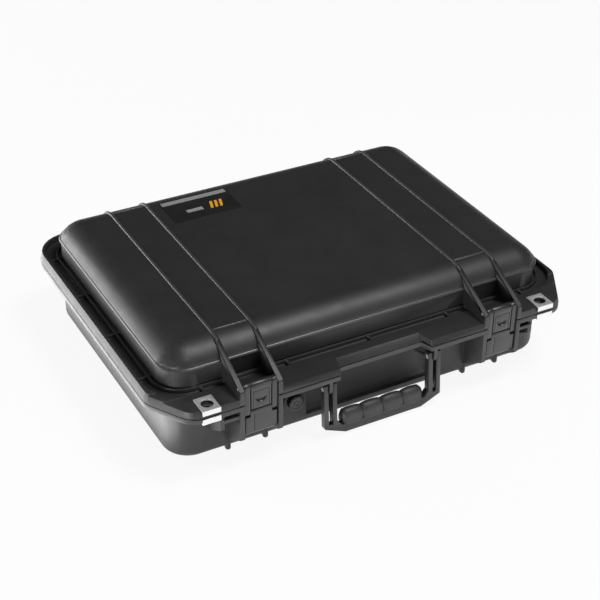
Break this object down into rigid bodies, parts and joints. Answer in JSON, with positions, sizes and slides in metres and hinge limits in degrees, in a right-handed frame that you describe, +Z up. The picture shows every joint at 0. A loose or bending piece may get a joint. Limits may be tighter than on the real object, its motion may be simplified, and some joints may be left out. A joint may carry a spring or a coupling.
{
  "type": "laptop hard case",
  "caption": "Black moulded laptop hard case with a hinged domed lid, two lever latches, a swing handle, steel padlock guards and a foam lining.",
  "frame": {"origin": "middle of the footprint, on the plane that the foot ribs stand on", "axes": "+X along the case's width, +Z up through the lid, the front with the latches and handle faces -Y"},
  "size_m": [0.505, 0.396, 0.1295],
  "materials": {
    "shell": "satin",
    "latch": "satin",
    "steel": "brushed",
    "rubber": "matte",
    "foam": "matte",
    "label": "gloss"
  },
  "bodies": {
    "base": {"base_shell": "shell", "hinge_pin_left": "steel", "hinge_pin_right": "steel", "base_padlock_guard_left": "steel", "base_padlock_guard_right": "steel", "valve_body": "rubber", "valve_seal": "rubber", "valve_nut": "rubber", "foam_base_pad": "foam", "foam_base_tray": "foam", "handle_pin_left": "steel", "handle_pin_right": "steel"},
    "lid": {"lid_shell": "shell", "lid_gasket": "rubber", "latch_pin_left": "steel", "latch_pin_right": "steel", "lid_padlock_guard_left": "steel", "lid_padlock_guard_right": "steel", "label_plate": "label", "foam_lid_pad": "foam"},
    "latch_left": {"latch_frame_left": "latch", "lever_pin_left": "steel"},
    "latch_right": {"latch_frame_right": "latch", "lever_pin_right": "steel"},
    "lever_left": {"latch_lever_left": "latch"},
    "lever_right": {"latch_lever_right": "latch"},
    "handle": {"handle_frame": "latch", "handle_grip": "rubber"},
    "valve": {"valve_knob": "latch"}
  },
  "joints": [
    {"name": "lid_hinge", "type": "hinge", "parent": "base", "child": "lid", "pos_m": [0, 0.192, 0.0791], "axis": [-1, 0, 0], "range_deg": [0, 105]},
    {"name": "latch_left_swing", "type": "hinge", "parent": "lid", "child": "latch_left", "pos_m": [-0.14625, -0.1898, 0.096], "axis": [-1, 0, 0], "range_deg": [0, 100]},
    {"name": "latch_right_swing", "type": "hinge", "parent": "lid", "child": "latch_right", "pos_m": [0.14625, -0.1898, 0.096], "axis": [-1, 0, 0], "range_deg": [0, 100]},
    {"name": "lever_left_turn", "type": "hinge", "parent": "latch_left", "child": "lever_left", "pos_m": [-0.14625, -0.191, 0.066], "axis": [-1, 0, 0], "range_deg": [0, 50]},
    {"name": "lever_right_turn", "type": "hinge", "parent": "latch_right", "child": "lever_right", "pos_m": [0.14625, -0.191, 0.066], "axis": [-1, 0, 0], "range_deg": [0, 50]},
    {"name": "handle_swing", "type": "hinge", "parent": "base", "child": "handle", "pos_m": [0, -0.187, 0.06], "axis": [-1, 0, 0], "range_deg": [0, 100]},
    {"name": "valve_turn", "type": "hinge", "parent": "base", "child": "valve", "pos_m": [-0.093, -0.163, 0.0395], "axis": [0, -1, 0], "range_deg": [0, 270]}
  ]
}
